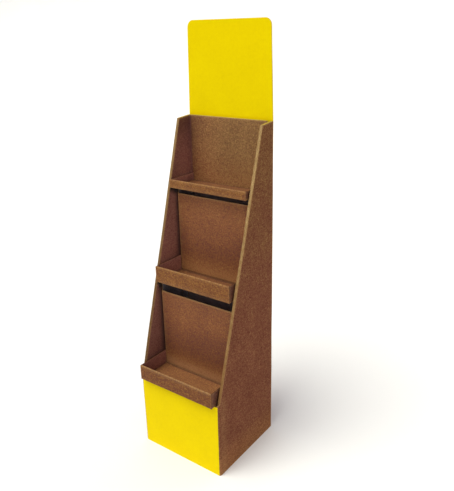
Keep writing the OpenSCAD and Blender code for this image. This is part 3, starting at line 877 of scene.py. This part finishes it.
def header_outline():
    foot, top_w, r, z_top, z_sh = 355.0, 339.0, 24.0, 1529.0, 1202.0
    rx, rz = (top_w - foot) / 2, z_top - z_sh
    rl = math.hypot(rx, rz)
    nx, nz = rz / rl, -rx / rl
    cx, cz = top_w / 2 + r * (nz - 1) / nx, z_top - r
    a0 = math.atan2(nz, nx)
    arc = [(cx + r * math.cos(a0 + (HALF_PI - a0) * i / 20), cz + r * math.sin(a0 + (HALF_PI - a0) * i / 20))
           for i in range(21)]
    tz = z_sh - 120.0
    right = [(116.0, tz), (128.0, tz + 12.0), (128.0, z_sh), (foot / 2, z_sh)] + arc
    return right + [(-x, z) for x, z in reversed(right)]


def make_header():
    wy = ripple(71, 0.5, 220, 640)

    def warp(u, v):
        free = np.clip((v - 1212.0) / 317.0, 0, 1)
        bow = 2.2 * free ** 1.5 * ((u / 168.0) ** 2 - 0.35)
        return np.stack([np.zeros_like(u), wy(u, v) * free - bow, np.zeros_like(u)], axis=1)

    def place(u, v, w):
        return np.stack([u, 340.0 + w, v], axis=1)

    return sheet("header_sheet", "header_card", header_outline(), CARD_T, SINGLE, [], place, 0,
                 (m_head_out, m_head_in, m_cut), grid=15, per_wave=9, warp=warp, depth=0.7)


def make_pocket():
    xo, xi = 162.5, 128.5
    half = [(xo, 1062), (xo, 1202), (xi + 0.6, 1202), (xi + 0.6, 1176), (xi + 6.0, 1172)]
    outline = half + [(-x, z) for x, z in reversed(half)]
    rows = []
    for s in (-1, 1):
        for k in range(9):
            rows.append(((s * (xi + 7.0 * k / 8), 1065.0), (s * (xi + 7.0 * k / 8), 1169.0), 12.0))
    for k in range(9):
        rows.append(((-xi + 4, 1074.0 + 8.0 * k / 8), (xi - 4, 1074.0 + 8.0 * k / 8), 12.0))

    def place(u, v, w):
        def step(x):
            x = np.clip(x, 0, 1)
            return x * x * (3 - 2 * x)
        raised = 1 - step((np.abs(u) - xi) / 7.0)
        raised = raised * step((v - 1074.0) / 8.0)
        return np.stack([u, 343.5 - w + 3.5 * raised, v], axis=1)

    return sheet("pocket_sheet", "header_pocket", outline, CARD_T, SINGLE, rows, place, 0,
                 (m_pocket, m_pocket, m_cut), grid=14, per_wave=8, depth=0.9)


make_shell()
make_tray("upper_tray_sheet", "upper_tray", 197.0, 970.5, 30.5, 330.0, 21, m_tray_out, m_tray_in)
make_tray("middle_tray_sheet", "middle_tray", 96.0, 640.5, 61.5, 236.0, 22, m_tray_out, m_tray_in)
make_tray("lower_tray_sheet", "lower_tray", -19.0, 290.0, 58.5, 119.0, 23, m_low_tray_out, m_low_tray_in, 0.85, 0.0)
make_riser("upper_riser_sheet", "upper_riser", 236.0, 330.0, 943.0, 970.5, 31, m_upper_riser, m_cut_upper)
make_riser("middle_riser_sheet", "middle_riser", 119.0, 236.0, 597.0, 640.5, 32, m_middle_riser, m_cut_middle)
make_riser("lower_riser_sheet", "lower_riser", 10.0, 119.0, 268.0, 290.0, 33, m_lower_riser, m_cut)
make_header()
make_pocket()

# ---------------------------------------------------------------- stage, light, camera

scene = bpy.context.scene
scene.view_settings.view_transform = "Standard"
scene.view_settings.look = "None"

cyc = bpy.data.meshes.new("floor_sweep")
prof = [(-9.0, 0.0), (4.0, 0.0)]
prof += [(4.0 + 3.0 * math.sin(a), 3.0 - 3.0 * math.cos(a)) for a in np.linspace(0.05, HALF_PI, 24)]
prof += [(7.0, 9.0)]
cv = [(x, y, z) for y, z in prof for x in (-12.0, 12.0)]
cf = [(2 * i, 2 * i + 1, 2 * i + 3, 2 * i + 2) for i in range(len(prof) - 1)]
cyc.from_pydata(cv, [], cf)
for p in cyc.polygons:
    p.use_smooth = True
g = Nodes("floor_paper")
tc = g.add("TexCoord")
soft = g.noise(tc.outputs["Object"], 0.6, 3.0, 0.5)
bs = g.add("BsdfPrincipled")
g.put(bs, "Base Color", g.ramp(soft, [(0.3, (0.925, 0.94, 0.94)), (0.7, (0.945, 0.96, 0.96))]))
bs.inputs["Roughness"].default_value = 0.9
bs.inputs["Specular IOR Level"].default_value = 0.1
g.tree.links.new(bs.outputs[0], g.out.inputs[0])
cyc.materials.append(g.mat)
floor = bpy.data.objects.new("floor_sweep", cyc)
scene.collection.objects.link(floor)

world = bpy.data.worlds.new("studio")
scene.world = world
world.use_nodes = True
bg = world.node_tree.nodes["Background"]
bg.inputs[0].default_value = (1.0, 0.94, 1.06, 1.0)
bg.inputs[1].default_value = 0.28
wt = world.node_tree
white = wt.nodes.new("ShaderNodeBackground")
white.inputs[0].default_value = (1.0, 1.0, 1.0, 1.0)
path = wt.nodes.new("ShaderNodeLightPath")
either = wt.nodes.new("ShaderNodeMixShader")
wt.links.new(path.outputs["Is Camera Ray"], either.inputs[0])
wt.links.new(bg.outputs[0], either.inputs[1])
wt.links.new(white.outputs[0], either.inputs[2])
wt.links.new(either.outputs[0], wt.nodes["World Output"].inputs[0])


# one broad overhead bank, a little to the left of the front
key = bpy.data.lights.new("key_bank", "SUN")
key.energy = 2.76
key.angle = math.radians(40.0)
key.color = (1.0, 0.975, 0.87)
key_ob = bpy.data.objects.new("key_bank", key)
k_az, k_el = math.radians(-25), math.radians(66)
toward = Vector((math.sin(k_az) * math.cos(k_el), -math.cos(k_az) * math.cos(k_el), math.sin(k_el)))
key_ob.rotation_euler = toward.to_track_quat("Z", "Y").to_euler()
scene.collection.objects.link(key_ob)

# a weak, very broad fill from the front
fill = bpy.data.lights.new("front_fill", "SUN")
fill.energy = 0.55
fill.angle = math.radians(60.0)
fill.color = (1.0, 0.96, 0.95)
fill_ob = bpy.data.objects.new("front_fill", fill)
f_az, f_el = math.radians(50), math.radians(5)
toward = Vector((math.sin(f_az) * math.cos(f_el), -math.cos(f_az) * math.cos(f_el), math.sin(f_el)))
fill_ob.rotation_euler = toward.to_track_quat("Z", "Y").to_euler()
scene.collection.objects.link(fill_ob)

cam = bpy.data.cameras.new("camera")
cam.sensor_width = 36.0
cam.lens = 569.5263 * 36.0 / 491.0
cam.clip_end = 60.0
az, el, roll = 0.635, 0.3575, -0.021
back = Vector((math.sin(az) * math.cos(el), -math.cos(az) * math.cos(el), math.sin(el)))
right = Vector((0, 0, 1)).cross(back).normalized()
up = back.cross(right)
r2 = math.cos(roll) * right + math.sin(roll) * up
u2 = -math.sin(roll) * right + math.cos(roll) * up
mw = Matrix((r2, u2, back)).transposed().to_4x4()
mw.translation = Vector((1.17252, -1.44348, 1.48601))
cam_ob = bpy.data.objects.new("camera", cam)
cam_ob.matrix_world = mw
scene.collection.objects.link(cam_ob)
scene.camera = cam_ob
